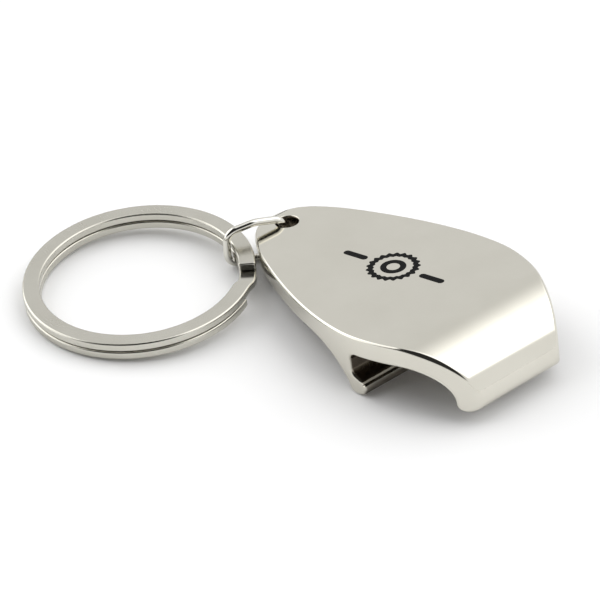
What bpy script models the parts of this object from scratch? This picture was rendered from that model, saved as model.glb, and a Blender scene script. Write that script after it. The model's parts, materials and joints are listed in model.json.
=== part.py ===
"""Keychain bottle opener: a cast opener body, an oval jump link and a flat split ring.

The body stands at rest the way it lies on a table: on the heel of its cap hook at the
front and on its ring end at the back, so the plate rises gently towards the lip.
X runs along the body towards the lip, Y across it, Z up; the origin is on the table
in the middle of the footprint of all three pieces. Metres throughout.
"""
import math

import bmesh
import bpy
from mathutils import Matrix, Vector

MM = 0.001

# ---- plate of the opener body ----
# The body's own frame is level, with its origin under the heel of the cap hook.
PLATE_TOP = 8.2 * MM            # top face above the heel of the hook
PLATE_THICK = 2.7 * MM
NOSE_X = -31.4 * MM             # ring end of the body
NOSE_HANDLE = 4.8 * MM          # how blunt the ring end is
SHOULDER_X = -21.1 * MM         # where the ring end runs into the long sides
SHOULDER_HALF = 8.9 * MM
SHOULDER_ANGLE = math.radians(21.7)
SHOULDER_HANDLE_BACK = 3.7 * MM
SHOULDER_HANDLE_FRONT = 7.3 * MM
WIDEST_X = -1.6 * MM
HALF_WIDTH = 13.5 * MM
WIDEST_HANDLE = 5.9 * MM
LIP_HALF = 6.5 * MM             # half width of the front lip
LIP_TAPER = math.radians(45.5)
LIP_HANDLE = 4.3 * MM
NOSE_ROLL_LENGTH = 1.8 * MM     # the top rolls down over this length at the ring end
NOSE_ROLL_RADIUS = 4.5 * MM
NOSE_END_RADIUS = 0.6 * MM

# ---- front bend and lip ----
LIP_FRONT_X = 14.75 * MM
LIP_THICK = 2.4 * MM
LIP_ROUND = 1.15 * MM           # rounding of the lip's lower end
BEND_LENGTH = 8.7 * MM          # the top face starts to bend this far behind the lip

# ---- cap hook under the plate ----
HEEL_RADIUS = 1.2 * MM
HOOK_NECK = 2.5 * MM            # thickness of the hook's neck
SLOT_X = -0.5 * MM              # back of the slot between the hook and the plate
SLOT_ROUND = 0.95 * MM
SLOT_FLOOR = 2.35 * MM          # height of the hook's upper face at the slot
HOOK_TIP_X = 1.65 * MM
HOOK_TIP_TOP = 1.6 * MM
TIP_CHIN = 0.62                 # where the tip's round underside starts, of its size
TIP_CHIN_ROUND = 0.66 * MM
TIP_NOSE_ROUND = 0.35 * MM
TIP_EDGE_ROUND = 0.15 * MM
TIP_EDGE_IN = 0.05 * MM         # the tip's upper edge stands back this much
TIP_LAND = 0.4 * MM             # flat land behind the tip's upper edge
STEP_RISE = 0.35 * MM           # small step behind the land
STEP_RUN = 0.1 * MM
STEP_ROUND = 0.12 * MM
RAMP_RISE = 0.1 * MM            # the hook's upper face climbs this much past the floor
HOOK_SWEEP = 6.6 * MM           # length of the concave back of the hook
SWEEP_HANDLE = 0.75             # how long the sweep stays level, of its length
HEEL_HANDLE = 2.3 * MM
HEEL_ANGLE = math.radians(-57)  # direction in which the sweep meets the heel
HEEL_START = math.radians(205)  # where the heel's round takes over from the sweep

EDGE_ROUND = 0.35 * MM          # rounding of all outer edges
ARC_STEP = math.radians(9)      # facet angle of rounded corners

# ---- eyelet ----
EYE_INSET = 3.4 * MM            # from the ring end to the eyelet's centre
EYE_X = NOSE_X + EYE_INSET
EYE_RADIUS = 1.5 * MM
EYE_CHAMFER = 0.25 * MM

# ---- resting attitude ----
REST_PITCH = math.radians(7.1)  # nose-up angle of the body as it lies

# ---- jump link ----
LINK_WIRE = 1.0 * MM
LINK_CORNER = 1.6 * MM          # corner radius of the wire's centreline
LINK_CROWN = 0.6 * MM           # the upper side arches up by this much
LINK_CROWN_ROUND = 4.0 * MM
LINK_TOP_CLEAR = 0.2 * MM       # over the plate
LINK_BAND_CLEAR = 0.25 * MM     # to the inner edge of the ring's band
LINK_UNDER_CLEAR = 0.38 * MM    # under the band
EYE_CLEAR = 0.35 * MM           # wire to the wall of the eyelet
LINK_SEAM = 0.10 * MM           # butt joint of the bent wire
LINK_AZIMUTH = math.radians(-107.8)
FLOOR_GAP = 0.02 * MM

# ---- split ring ----
RING_OUTER = 15.0 * MM          # radius
RING_BAND = 2.25 * MM
COIL_HEIGHT = 1.12 * MM
COIL_GAP = 0.12 * MM
RING_BODY_GAP = 0.30 * MM       # ring's edge to the body's ring end
COIL_STEP = math.radians(20)    # arc over which the wire changes level
COIL_END = math.radians(-22)    # where the upper coil ends, from the link's side
COIL_END_GAP = math.radians(2.2)
COIL_SEGMENTS = 80              # facets per turn
COIL_EDGE = 0.28 * MM           # rounding of the flat wire's edges

CUT_OVERRUN = 2.0 * MM          # cutters run this far past the faces they cut
BORE_OVERRUN = 0.5 * MM


def clear_scene():
    for obj in list(bpy.data.objects):
        bpy.data.objects.remove(obj, do_unlink=True)


def metal(name, colour, roughness):
    mat = bpy.data.materials.new(name)
    mat.use_nodes = True
    shader = mat.node_tree.nodes["Principled BSDF"]
    shader.inputs["Base Color"].default_value = (*colour, 1.0)
    shader.inputs["Metallic"].default_value = 1.0
    shader.inputs["Roughness"].default_value = roughness
    return mat


def bezier(p0, p1, p2, p3, count):
    """Points of a cubic curve, without the last one."""
    points = []
    for i in range(count):
        t = i / count
        a, b, c, d = (1 - t) ** 3, 3 * (1 - t) ** 2 * t, 3 * (1 - t) * t * t, t ** 3
        points.append(a * p0 + b * p1 + c * p2 + d * p3)
    return points


def rounded_path(corners):
    """Closed outline through corners (x, z, radius), each replaced by its fillet arc."""
    points = []
    total = len(corners)
    for i, (x, z, radius) in enumerate(corners):
        here = Vector((x, z))
        before = Vector(corners[i - 1][:2]) - here
        after = Vector(corners[(i + 1) % total][:2]) - here
        if radius <= 0.0:
            points.append(here)
            continue
        a = before.normalized()
        b = after.normalized()
        half = math.acos(max(-1.0, min(1.0, a.dot(b)))) / 2
        reach = radius / math.tan(half)
        centre = here + (a + b).normalized() * (radius / math.sin(half))
        start = here + a * reach - centre
        finish = here + b * reach - centre
        turn = math.atan2(start.x * finish.y - start.y * finish.x, start.dot(finish))
        steps = max(2, round(abs(turn) / ARC_STEP))
        for k in range(steps + 1):
            angle = turn * k / steps
            spun = Matrix.Rotation(angle, 2) @ start
            points.append(centre + spun)
    return points


def outline_half():
    """One long side of the body in plan, from the ring end to the lip."""
    nose = Vector((NOSE_X, 0.0))
    shoulder = Vector((SHOULDER_X, SHOULDER_HALF))
    widest = Vector((WIDEST_X, HALF_WIDTH))
    lip = Vector((LIP_FRONT_X, LIP_HALF))
    along = Vector((math.cos(SHOULDER_ANGLE), math.sin(SHOULDER_ANGLE)))
    taper = Vector((math.cos(LIP_TAPER), -math.sin(LIP_TAPER)))
    ahead = Vector((WIDEST_HANDLE, 0.0))
    half = bezier(nose, nose + Vector((0.0, NOSE_HANDLE)),
                  shoulder - along * SHOULDER_HANDLE_BACK, shoulder, 14)
    half += bezier(shoulder, shoulder + along * SHOULDER_HANDLE_FRONT,
                   widest - ahead, widest, 12)
    half += bezier(widest, widest + ahead, lip - taper * LIP_HANDLE, lip, 14)
    half.append(lip)
    return half


def arc(cx, cz, radius, start, finish, count):
    """Points of a circular arc, both ends included, angles from +X towards +Z."""
    return [Vector((cx + radius * math.cos(start + (finish - start) * k / count),
                    cz + radius * math.sin(start + (finish - start) * k / count)))
            for k in range(count + 1)]


def bend_arc(x, length, height, count):
    """Quarter of an oval from upright at the lip to level at the plate."""
    return [Vector((x + length * math.cos(math.pi / 2 * k / count),
                    LIP_ROUND + height * math.sin(math.pi / 2 * k / count)))
            for k in range(count + 1)]


def side_profile():
    """Closed side view of the casting, as (x, z), running with the metal on its left."""
    under = PLATE_TOP - PLATE_THICK
    bend_x = LIP_FRONT_X - BEND_LENGTH
    lip_in = LIP_FRONT_X - LIP_THICK
    points = []
    # lip's rounded lower end, then up the outer bend and back along the top face
    points += arc(LIP_FRONT_X - LIP_ROUND, LIP_ROUND, LIP_ROUND, -math.pi / 2, 0.0, 7)
    points += bend_arc(bend_x, BEND_LENGTH, PLATE_TOP - LIP_ROUND, 16)[1:]
    # the top rolls down at the ring end
    roll_x = NOSE_X + NOSE_ROLL_LENGTH
    roll_turn = math.asin(NOSE_ROLL_LENGTH / NOSE_ROLL_RADIUS)
    points += arc(roll_x, PLATE_TOP - NOSE_ROLL_RADIUS, NOSE_ROLL_RADIUS,
                  math.pi / 2, math.pi / 2 + roll_turn, 6)
    points += arc(NOSE_X + NOSE_END_RADIUS, under + NOSE_END_RADIUS, NOSE_END_RADIUS,
                  math.pi, 1.5 * math.pi, 4)
    # underside of the plate runs into the concave back of the hook
    neck_back = SLOT_X - HOOK_NECK
    heel_x = 0.0
    heel_z = HEEL_RADIUS
    edge_x = HOOK_TIP_X - TIP_EDGE_IN
    points += hook_back(neck_back, under, heel_x, heel_z)
    # under the hook, round its tip and back over its upper face into the slot
    points += rounded_path_open([
        (heel_x, 0.0, 0.0),
        (HOOK_TIP_X * TIP_CHIN, 0.0, TIP_CHIN_ROUND),
        (HOOK_TIP_X, HOOK_TIP_TOP * TIP_CHIN, TIP_NOSE_ROUND),
        (edge_x, HOOK_TIP_TOP, TIP_EDGE_ROUND),
        (edge_x - TIP_LAND, HOOK_TIP_TOP, 0.0),
        (edge_x - TIP_LAND - STEP_RUN, HOOK_TIP_TOP + STEP_RISE, STEP_ROUND),
        (SLOT_X, SLOT_FLOOR + STEP_RISE + RAMP_RISE, SLOT_ROUND),
        (SLOT_X, under, SLOT_ROUND),
        (bend_x, under, 0.0),
    ])
    # inside of the bend and down the lip's back
    inside = bend_arc(bend_x, lip_in - bend_x, under - LIP_ROUND, 14)
    points += list(reversed(inside))[1:-1]
    points += arc(lip_in + LIP_ROUND, LIP_ROUND, LIP_ROUND, math.pi, 1.5 * math.pi, 7)
    return points


def hook_back(neck_x, under, heel_x, heel_z):
    """Concave sweep from the plate's underside to the round heel of the hook."""
    start = Vector((neck_x - HOOK_SWEEP, under))
    finish = Vector((heel_x - HEEL_RADIUS, heel_z))
    down = Vector((math.cos(HEEL_ANGLE), math.sin(HEEL_ANGLE)))
    points = bezier(start, start + Vector((HOOK_SWEEP * SWEEP_HANDLE, 0.0)),
                    finish - down * HEEL_HANDLE, finish, 16)
    heel = arc(heel_x, heel_z, HEEL_RADIUS, HEEL_START, 1.5 * math.pi, 7)
    return points + heel[:-1]


def rounded_path_open(corners):
    """Fillets the inner corners of an open run and keeps its two ends."""
    ring = rounded_path([(*corners[0][:2], 0.0)] + list(corners[1:-1])
                        + [(*corners[-1][:2], 0.0)])
    return ring


def drop_repeats(points, tolerance=0.01 * MM):
    kept = []
    for point in points:
        if not kept or (point - kept[-1]).length > tolerance:
            kept.append(point)
    if (kept[0] - kept[-1]).length <= tolerance:
        kept.pop()
    return kept


def prism(name, points, axis, low, high):
    """Extrudes a closed outline along Y (axis 'Y', points are x, z) or Z (points x, y)."""
    bm = bmesh.new()
    lower = []
    for point in points:
        if axis == "Y":
            lower.append(bm.verts.new((point.x, low, point.y)))
        else:
            lower.append(bm.verts.new((point.x, point.y, low)))
    face = bm.faces.new(lower)
    step = Vector((0, high - low, 0)) if axis == "Y" else Vector((0, 0, high - low))
    grown = bmesh.ops.extrude_face_region(bm, geom=[face])
    moved = [v for v in grown["geom"] if isinstance(v, bmesh.types.BMVert)]
    bmesh.ops.translate(bm, vec=step, verts=moved)
    bmesh.ops.recalc_face_normals(bm, faces=bm.faces)
    mesh = bpy.data.meshes.new(name)
    bm.to_mesh(mesh)
    bm.free()
    obj = bpy.data.objects.new(name, mesh)
    bpy.context.collection.objects.link(obj)
    return obj


def hide_cutter(obj):
    obj.hide_render = True
    obj.hide_set(True)
    obj.display_type = "WIRE"


def boolean(obj, cutter, operation):
    mod = obj.modifiers.new("cut_" + cutter.name, "BOOLEAN")
    mod.operation = operation
    mod.solver = "EXACT"
    mod.object = cutter
    hide_cutter(cutter)


def build_body(material):
    profile = drop_repeats(side_profile())
    reach = HALF_WIDTH + CUT_OVERRUN
    body = prism("opener_body", profile, "Y", -reach, reach)
    half = outline_half()
    plan = half + [Vector((p.x, -p.y)) for p in reversed(half[1:])]
    plan_cutter = prism("plan_outline", drop_repeats(plan), "Z",
                        -CUT_OVERRUN, PLATE_TOP + CUT_OVERRUN)
    boolean(body, plan_cutter, "INTERSECT")
    under = PLATE_TOP - PLATE_THICK
    profile_eye = [
        (EYE_RADIUS + EYE_CHAMFER + BORE_OVERRUN, PLATE_TOP + BORE_OVERRUN),
        (EYE_RADIUS, PLATE_TOP - EYE_CHAMFER),
        (EYE_RADIUS, under + EYE_CHAMFER),
        (EYE_RADIUS + EYE_CHAMFER + BORE_OVERRUN, under - BORE_OVERRUN),
    ]
    eye = turned("eyelet_bore", profile_eye, 28)
    eye.location = (EYE_X, 0.0, 0.0)
    boolean(body, eye, "DIFFERENCE")
    bevel = body.modifiers.new("edge_rounding", "BEVEL")
    bevel.width = EDGE_ROUND
    bevel.segments = 2
    bevel.limit_method = "ANGLE"
    bevel.angle_limit = math.radians(40)
    body.data.materials.append(material)
    return body, [plan_cutter, eye]


def turned(name, outline, count):
    """Closed solid of revolution about Z from (radius, z) points, top to bottom."""
    bm = bmesh.new()
    rings = []
    for radius, z in outline:
        rings.append([bm.verts.new((radius * math.cos(2 * math.pi * k / count),
                                    radius * math.sin(2 * math.pi * k / count), z))
                      for k in range(count)])
    for upper, lower in zip(rings, rings[1:]):
        for k in range(count):
            n = (k + 1) % count
            bm.faces.new((upper[k], upper[n], lower[n], lower[k]))
    bm.faces.new(rings[0])
    bm.faces.new(list(reversed(rings[-1])))
    bmesh.ops.recalc_face_normals(bm, faces=bm.faces)
    mesh = bpy.data.meshes.new(name)
    bm.to_mesh(mesh)
    bm.free()
    obj = bpy.data.objects.new(name, mesh)
    bpy.context.collection.objects.link(obj)
    return obj


def swept(name, stations, material):
    """Solid from a row of equal closed sections, with both ends capped."""
    bm = bmesh.new()
    loops = [[bm.verts.new(p) for p in section] for section in stations]
    count = len(loops[0])
    for a, b in zip(loops, loops[1:]):
        for k in range(count):
            n = (k + 1) % count
            bm.faces.new((a[k], a[n], b[n], b[k]))
    bm.faces.new(list(reversed(loops[0])))
    bm.faces.new(loops[-1])
    bmesh.ops.recalc_face_normals(bm, faces=bm.faces)
    mesh = bpy.data.meshes.new(name)
    bm.to_mesh(mesh)
    bm.free()
    obj = bpy.data.objects.new(name, mesh)
    bpy.context.collection.objects.link(obj)
    mesh.shade_smooth()
    mesh.set_sharp_from_angle(angle=math.radians(40))
    obj.data.materials.append(material)
    return obj


def build_link(material, length, height):
    """Oval link in its own XZ plane; the side that goes through the eyelet is at x = 0.

    Length and height are those of the wire's centreline.
    """
    centreline = rounded_path([
        (0.0, 0.0, LINK_CORNER),
        (0.0, height, LINK_CORNER),
        (length / 2, height + LINK_CROWN, LINK_CROWN_ROUND),
        (length, height, LINK_CORNER),
        (length, 0.0, LINK_CORNER),
    ])
    # start and end on the lower straight run, where the wire's butt joint is
    seam = Vector((length * 0.5, 0.0))
    first = seam + Vector((-LINK_SEAM / 2, 0.0))
    last = seam + Vector((LINK_SEAM / 2, 0.0))
    path = [first] + centreline + [last]
    stations = []
    count = 12
    for i, point in enumerate(path):
        before = path[max(i - 1, 0)]
        after = path[min(i + 1, len(path) - 1)]
        along = (after - before).normalized()
        out = Vector((along.y, -along.x))
        stations.append([
            Vector((point.x + out.x * math.cos(2 * math.pi * k / count) * LINK_WIRE / 2,
                    math.sin(2 * math.pi * k / count) * LINK_WIRE / 2,
                    point.y + out.y * math.cos(2 * math.pi * k / count) * LINK_WIRE / 2))
            for k in range(count)])
    return swept("jump_link", stations, material)


def ring_section():
    """Band section of one coil as (radial, up) with rounded corners."""
    low, high = RING_OUTER - RING_BAND, RING_OUTER
    edge = COIL_EDGE
    corners = [(low, 0.0), (high, 0.0), (high, COIL_HEIGHT), (low, COIL_HEIGHT)]
    points = []
    for i, (r, z) in enumerate(corners):
        here = Vector((r, z))
        back = (Vector(corners[i - 1]) - here).normalized()
        ahead = (Vector(corners[(i + 1) % 4]) - here).normalized()
        centre = here + (back + ahead) * edge
        for k in range(3):
            angle = math.pi / 4 * k
            away = -ahead * math.cos(angle) - back * math.sin(angle)
            points.append(centre + away * edge)
    return points


def build_ring(material):
    """Two turns of flat wire that change level over a short arc, origin on its axis."""
    section = ring_section()
    pitch = COIL_HEIGHT + COIL_GAP
    total = 4 * math.pi - COIL_STEP - COIL_END_GAP
    steps = round(total / (2 * math.pi / COIL_SEGMENTS))
    stations = []
    for i in range(steps + 1):
        turn = total * i / steps
        over = (turn - (2 * math.pi - COIL_STEP - COIL_END_GAP)) / COIL_STEP
        over = max(0.0, min(1.0, over))
        eased = over ** 3 * (10 - 15 * over + 6 * over * over)
        level = pitch * (1.0 - eased)
        angle = COIL_END + turn
        stations.append([Vector((p.x * math.cos(angle), p.x * math.sin(angle), p.y + level))
                         for p in section])
    return swept("split_ring", stations, material)


def rest_matrix():
    """Body's own level frame to its resting attitude: tipped about the heel's centre."""
    centre = Vector((0.0, 0.0, HEEL_RADIUS))
    tip = Matrix.Rotation(-REST_PITCH, 4, "Y")
    return Matrix.Translation(centre) @ tip @ Matrix.Translation(-centre)


def ring_distance(rest, eye, away):
    """Plan distance from the eyelet to the ring's centre that leaves the body its gap."""
    half = outline_half()
    edge = half + [Vector((p.x, -p.y)) for p in reversed(half)]
    level = PLATE_TOP - PLATE_THICK / 2
    fine = []
    for a, b in zip(edge, edge[1:]):
        fine += [a.lerp(b, k / 8) for k in range(8)]
    plan = [(rest @ Vector((p.x, p.y, level))).xy for p in fine]
    near, far = RING_OUTER, 2 * RING_OUTER
    for _ in range(40):
        middle = (near + far) / 2
        centre = eye.xy + away.xy * middle
        gap = min((p - centre).length for p in plan) - RING_OUTER
        if gap > RING_BODY_GAP:
            far = middle
        else:
            near = middle
    return far


def footprint_middle(objects):
    """Point on the table in the middle of the box around the finished pieces."""
    bpy.context.view_layer.update()
    graph = bpy.context.evaluated_depsgraph_get()
    corners = []
    for obj in objects:
        shape = obj.evaluated_get(graph).to_mesh()
        corners += [obj.matrix_world @ v.co for v in shape.vertices]
    low = Vector([min(c[i] for c in corners) for i in range(3)])
    high = Vector([max(c[i] for c in corners) for i in range(3)])
    return Vector(((low.x + high.x) / 2, (low.y + high.y) / 2, low.z))


def main():
    clear_scene()
    body_metal = metal("cast_nickel", (0.62, 0.61, 0.58), 0.12)
    link_metal = metal("link_nickel", (0.66, 0.65, 0.62), 0.15)
    ring_metal = metal("ring_nickel", (0.55, 0.54, 0.51), 0.22)

    body, cutters = build_body(body_metal)
    rest = rest_matrix()
    body.matrix_world = rest
    for cutter in cutters:
        cutter.parent = body

    eye = rest @ Vector((EYE_X, 0.0, PLATE_TOP - PLATE_THICK / 2))
    plate_top = (rest @ Vector((EYE_X, 0.0, PLATE_TOP))).z
    away = Vector((math.cos(LINK_AZIMUTH), math.sin(LINK_AZIMUTH), 0.0))
    distance = ring_distance(rest, eye, away)

    # the link stands upright in the eyelet and swings about the eyelet's upright centreline
    offset = EYE_RADIUS - EYE_CLEAR - LINK_WIRE / 2
    wire = LINK_WIRE / 2
    length = distance - RING_OUTER + RING_BAND - offset + LINK_BAND_CLEAR + wire
    height = plate_top + LINK_TOP_CLEAR - FLOOR_GAP
    link = build_link(link_metal, length, height)
    base = FLOOR_GAP + wire
    link.data.transform(Matrix.Translation(Vector((offset, 0.0, base - eye.z))))
    link.matrix_world = Matrix.Translation(eye) @ Matrix.Rotation(LINK_AZIMUTH, 4, "Z")

    # the ring leans on the link: lifted where the link passes under it, down opposite
    ring = build_ring(ring_metal)
    lift = LINK_WIRE + LINK_UNDER_CLEAR
    rise = math.atan2(lift, 2 * RING_OUTER - RING_BAND)
    flat = eye.xy + away.xy * distance
    centre_z = FLOOR_GAP + RING_OUTER * math.sin(rise)
    lean = Matrix.Rotation(rise, 4, Vector((-away.y, away.x, 0.0)))
    spin = Matrix.Rotation(LINK_AZIMUTH + math.pi, 4, "Z")
    ring.matrix_world = (Matrix.Translation(Vector((flat.x, flat.y, centre_z)))
                         @ lean @ spin)

    pieces = (body, link, ring)
    middle = Matrix.Translation(-footprint_middle(pieces))
    for piece in pieces:
        piece.matrix_world = middle @ piece.matrix_world


main()
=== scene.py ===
"""Keychain bottle opener, photographed on a plain white table.

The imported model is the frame: its three nodes say where the opener body, the jump link
and the split ring are. Each is replaced by a fine mesh of the same shape and size.
Lengths are in metres; X runs along the body towards the lip, Y across it, Z up.
"""
import json
import math

import bmesh
import bpy
import numpy as np
from mathutils import Matrix, Vector, kdtree


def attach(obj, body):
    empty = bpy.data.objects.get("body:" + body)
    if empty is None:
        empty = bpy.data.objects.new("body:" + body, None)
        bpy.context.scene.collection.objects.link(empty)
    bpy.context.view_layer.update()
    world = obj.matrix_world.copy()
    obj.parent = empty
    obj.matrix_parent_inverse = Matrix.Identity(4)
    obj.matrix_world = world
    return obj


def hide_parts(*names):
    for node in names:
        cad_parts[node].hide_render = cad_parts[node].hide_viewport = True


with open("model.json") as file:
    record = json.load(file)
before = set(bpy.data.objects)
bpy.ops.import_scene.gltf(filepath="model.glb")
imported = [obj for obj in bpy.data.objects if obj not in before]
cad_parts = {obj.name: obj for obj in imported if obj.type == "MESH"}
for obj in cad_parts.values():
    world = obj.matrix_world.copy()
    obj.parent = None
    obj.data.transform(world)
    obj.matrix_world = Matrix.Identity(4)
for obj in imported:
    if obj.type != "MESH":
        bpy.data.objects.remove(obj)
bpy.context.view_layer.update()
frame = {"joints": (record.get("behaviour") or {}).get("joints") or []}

MM = 0.001

# ---- plate of the opener body, in the body's own level frame ----
PLATE_TOP = 8.2 * MM
PLATE_THICK = 2.7 * MM
PLATE_UNDER = PLATE_TOP - PLATE_THICK
PLATE_MIDDLE = (PLATE_TOP + PLATE_UNDER) / 2
NOSE_X = -31.4 * MM
NOSE_HANDLE = 4.8 * MM
SHOULDER_X = -21.1 * MM
SHOULDER_HALF = 8.9 * MM
SHOULDER_ANGLE = math.radians(21.7)
SHOULDER_HANDLE_BACK = 3.7 * MM
SHOULDER_HANDLE_FRONT = 7.3 * MM
WIDEST_X = -1.6 * MM
HALF_WIDTH = 13.5 * MM
WIDEST_HANDLE = 5.9 * MM
LIP_HALF = 6.5 * MM
LIP_TAPER = math.radians(45.5)
LIP_HANDLE = 4.3 * MM
NOSE_ROLL_LENGTH = 1.8 * MM
NOSE_ROLL_RADIUS = 4.5 * MM
NOSE_END_RADIUS = 0.6 * MM

# ---- front bend and lip ----
LIP_FRONT_X = 14.75 * MM
LIP_THICK = 2.4 * MM
LIP_ROUND = 1.15 * MM
BEND_LENGTH = 8.7 * MM
BEND_X = LIP_FRONT_X - BEND_LENGTH

# ---- cap hook under the plate ----
HEEL_RADIUS = 1.2 * MM
HOOK_NECK = 2.5 * MM
SLOT_X = -0.5 * MM
SLOT_ROUND = 0.95 * MM
SLOT_FLOOR = 2.35 * MM
HOOK_TIP_X = 1.65 * MM
HOOK_TIP_TOP = 1.6 * MM
TIP_CHIN = 0.62
TIP_CHIN_ROUND = 0.66 * MM
TIP_NOSE_ROUND = 0.35 * MM
TIP_EDGE_ROUND = 0.15 * MM
TIP_EDGE_IN = 0.05 * MM
TIP_LAND = 0.4 * MM
STEP_RISE = 0.35 * MM
STEP_RUN = 0.1 * MM
STEP_ROUND = 0.12 * MM
RAMP_RISE = 0.1 * MM
HOOK_SWEEP = 6.6 * MM
SWEEP_HANDLE = 0.75
HEEL_HANDLE = 2.3 * MM
HEEL_ANGLE = math.radians(-57)
HEEL_START = math.radians(205)

EDGE_ROUND = 0.35 * MM
EDGE_ROWS = 6                   # facets across a rounded edge
EDGE_SHARE = 0.8                # of a small corner's radius that its edge may be rounded by
EDGE_GROWTH = 0.6               # how fast the rounding comes back beside a small corner
BEND_ROUND = 0.62 * MM          # the outer edge is rounded more over the front bend
BEND_ROUND_X = 9.6 * MM
BEND_ROUND_SPAN = 4.6 * MM
ARC_STEP = math.radians(3)
OUTLINE_STEPS = (56, 48, 56)    # nose to shoulder, shoulder to widest, widest to lip
BEND_STEPS = 60
BEND_UNDER_STEPS = 48
LIP_STEPS = 24
HEEL_STEPS = 24
SWEEP_STEPS = 40
WALL_STRIPS = 64
LONGEST_STEP = 0.45 * MM        # along the side view
SHORTEST_STEP = 0.004 * MM
NOSE_PART_END = -20 * MM        # up to here the top and underside follow the plan's stations
MERGE_DISTANCE = 0.2e-6
LEAST_EDGE = 1e-7
ON_PLANE = 1e-8
SAME_POINT = 1e-6
LEAST_TURN = 1e-4               # radians; a corner turns more than this
FACES_UP = 0.05                 # least upward part of a normal on the outer side

# ---- eyelet ----
EYE_INSET = 3.4 * MM
EYE_X = NOSE_X + EYE_INSET
EYE_RADIUS = 1.5 * MM
EYE_CHAMFER = 0.25 * MM
EYE_FACETS = 72
SHADE_EYE_EDGE = EYE_RADIUS + 0.3 * EYE_CHAMFER  # painted shade darkens the bore inside this radius

# ---- painted shade on inner faces: margins round the slot, and shares of darkening ----
SHADE_ABOVE_UNDER = 0.05 * MM
SHADE_BEHIND_SLOT = 0.1 * MM
SHADE_SLOT_FLOOR = HOOK_TIP_TOP - 0.2 * MM
SHADE_HOOK_FRONT = 0.9
SHADE_UNDERSIDE = 0.55

REST_PITCH = math.radians(7.1)

# ---- jump link and split ring ----
LINK_WIRE = 1.0 * MM
LINK_CORNER = 1.6 * MM
LINK_CROWN = 0.6 * MM
LINK_CROWN_ROUND = 4.0 * MM
LINK_TOP_CLEAR = 0.2 * MM
LINK_BAND_CLEAR = 0.25 * MM
LINK_UNDER_CLEAR = 0.38 * MM
EYE_CLEAR = 0.35 * MM
LINK_SEAM = 0.10 * MM
LINK_AZIMUTH = math.radians(-107.8)
LINK_FACETS = 32
FLOOR_GAP = 0.02 * MM
RING_OUTER = 15.0 * MM
RING_BAND = 2.25 * MM
COIL_HEIGHT = 1.12 * MM
COIL_GAP = 0.12 * MM
COIL_EDGE = 0.28 * MM
COIL_STEP = math.radians(20)
COIL_END = math.radians(-22)
COIL_END_GAP = math.radians(2.2)
COIL_SEGMENTS = 320
COIL_END_ROUND = 0.24 * MM      # the wire's cut ends are ground round

# ---- printed mark on the plate's top face, in the body's level frame ----
MARK_X = -8.2 * MM
MARK_Y = 0.93 * MM
MARK_TURN = math.radians(10)
MARK_CAP = 3.3 * MM             # mean outer radius of the cap's outline
MARK_LINE = 0.8 * MM
MARK_SPACE = 0.9 * MM
MARK_HALF_LENGTH = 7.9 * MM
MARK_INNER = 0.5 * MARK_CAP     # outer radius of the ring inside the cap
MARK_TEETH = 21                 # a crown cap has 21
MARK_TOOTH_STEPS = 12
MARK_RIPPLE_OUT = 0.05
MARK_RIPPLE_IN = 0.03
RULE_HALF_WIDTH = 0.6 * MARK_LINE
RULE_END_STEPS = 12
MARK_FILM = 0.008 * MM          # thickness of the ink

# ---- camera, lamps and floor ----
AIM = Vector((-19.3, -5.95, 0.0)) * MM
CAMERA_DISTANCE = 318 * MM
CAMERA_AZIMUTH = math.radians(51.57)
CAMERA_ELEVATION = math.radians(36)
CAMERA_ROLL = math.radians(-3)
CAMERA_LENS = 150
FLOOR_SIZE = 3.0
LAMP_DISTANCE = 0.9
# azimuth and elevation in degrees, size in metres, power in watts
OVERHEAD_LAMP = (-50, 68, (0.7, 0.7), 1.5)
FRONT_LAMP = (50, 32, (0.8, 0.5), 0.2)

# ---- surroundings: brightness by direction; an edge is (from, to) on a smooth step ----
DOME_EDGE = (-0.30, 0.45)       # pale dome, by x
DOME_LEVELS = (0.87, 1.04)
ROOM_WAY = (0.25, -0.80, 0.55)  # dark room on the camera's side
ROOM_EDGE = (0.47, 0.60)
ROOM_LOW_EDGE = (0.15, 0.32)
ROOM_LEVEL = 0.03
BOX_SOFT_EDGE = (-0.55, 0.10)   # wide soft box overhead, by x, x, y and z
BOX_SHARP_EDGE = (0.69, 0.64)
BOX_FRONT_EDGE = (-0.05, 0.15)
BOX_LOW_EDGE = (0.30, 0.45)
BOX_LEVEL = 1.1
WALL_WAY = (-0.72, -0.50, 0.45)  # white wall at the ring's side
WALL_EDGE = (0.78, 0.86)
WALL_LEVEL = 1.4
GAP_TOP = (0.10, 0.03)          # dark gap along the horizon at the ring's side, by z and x
GAP_SIDE = (-0.45, -0.65)

# ---- finishes: light and dark base colour, least and most roughness, waviness ----
BODY_FINISH = ((0.675, 0.655, 0.585), (0.645, 0.625, 0.555), 0.07, 0.12, 0.15)
LINK_FINISH = ((0.72, 0.705, 0.65), (0.66, 0.645, 0.59), 0.07, 0.12, 0.2)
RING_FINISH = ((0.60, 0.585, 0.525), (0.55, 0.535, 0.475), 0.20, 0.28, 0.25)
HAZE_IN_COLOUR = (0.3, 0.7)     # part of the haze that the colour or gloss goes over
HAZE_IN_GLOSS = (0.35, 0.7)
HAIRLINE_DEPTH = (0.0, 0.03, 0.60, 0.72)
# dark brown painted as shade on the hook's slot and front, the underside and the eyelet's bore
PAINTED_SHADE_COLOUR = (0.20, 0.17, 0.135, 1.0)
SHADE_ROUGHNESS = 0.16        # added to the body's own roughness where the painted shade lies
HAIRLINES = (700.0, 16000.0, 9000.0)
HAIRLINE_TURN = 0.35
WAVE_DEPTH = 0.00002
INK_ROUGHNESS = (0.45, 0.65)
INK_SPECULAR = 0.05
INK_COLOURS = ((0.004, 0.004, 0.004), (0.012, 0.012, 0.012))
INK_GRAIN = (0.3, 0.000004)     # strength and depth
TABLE_COLOURS = ((0.90, 0.90, 0.90), (0.92, 0.92, 0.92))
TABLE_ROUGHNESS = 0.55
TABLE_SPECULAR = 0.2
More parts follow.
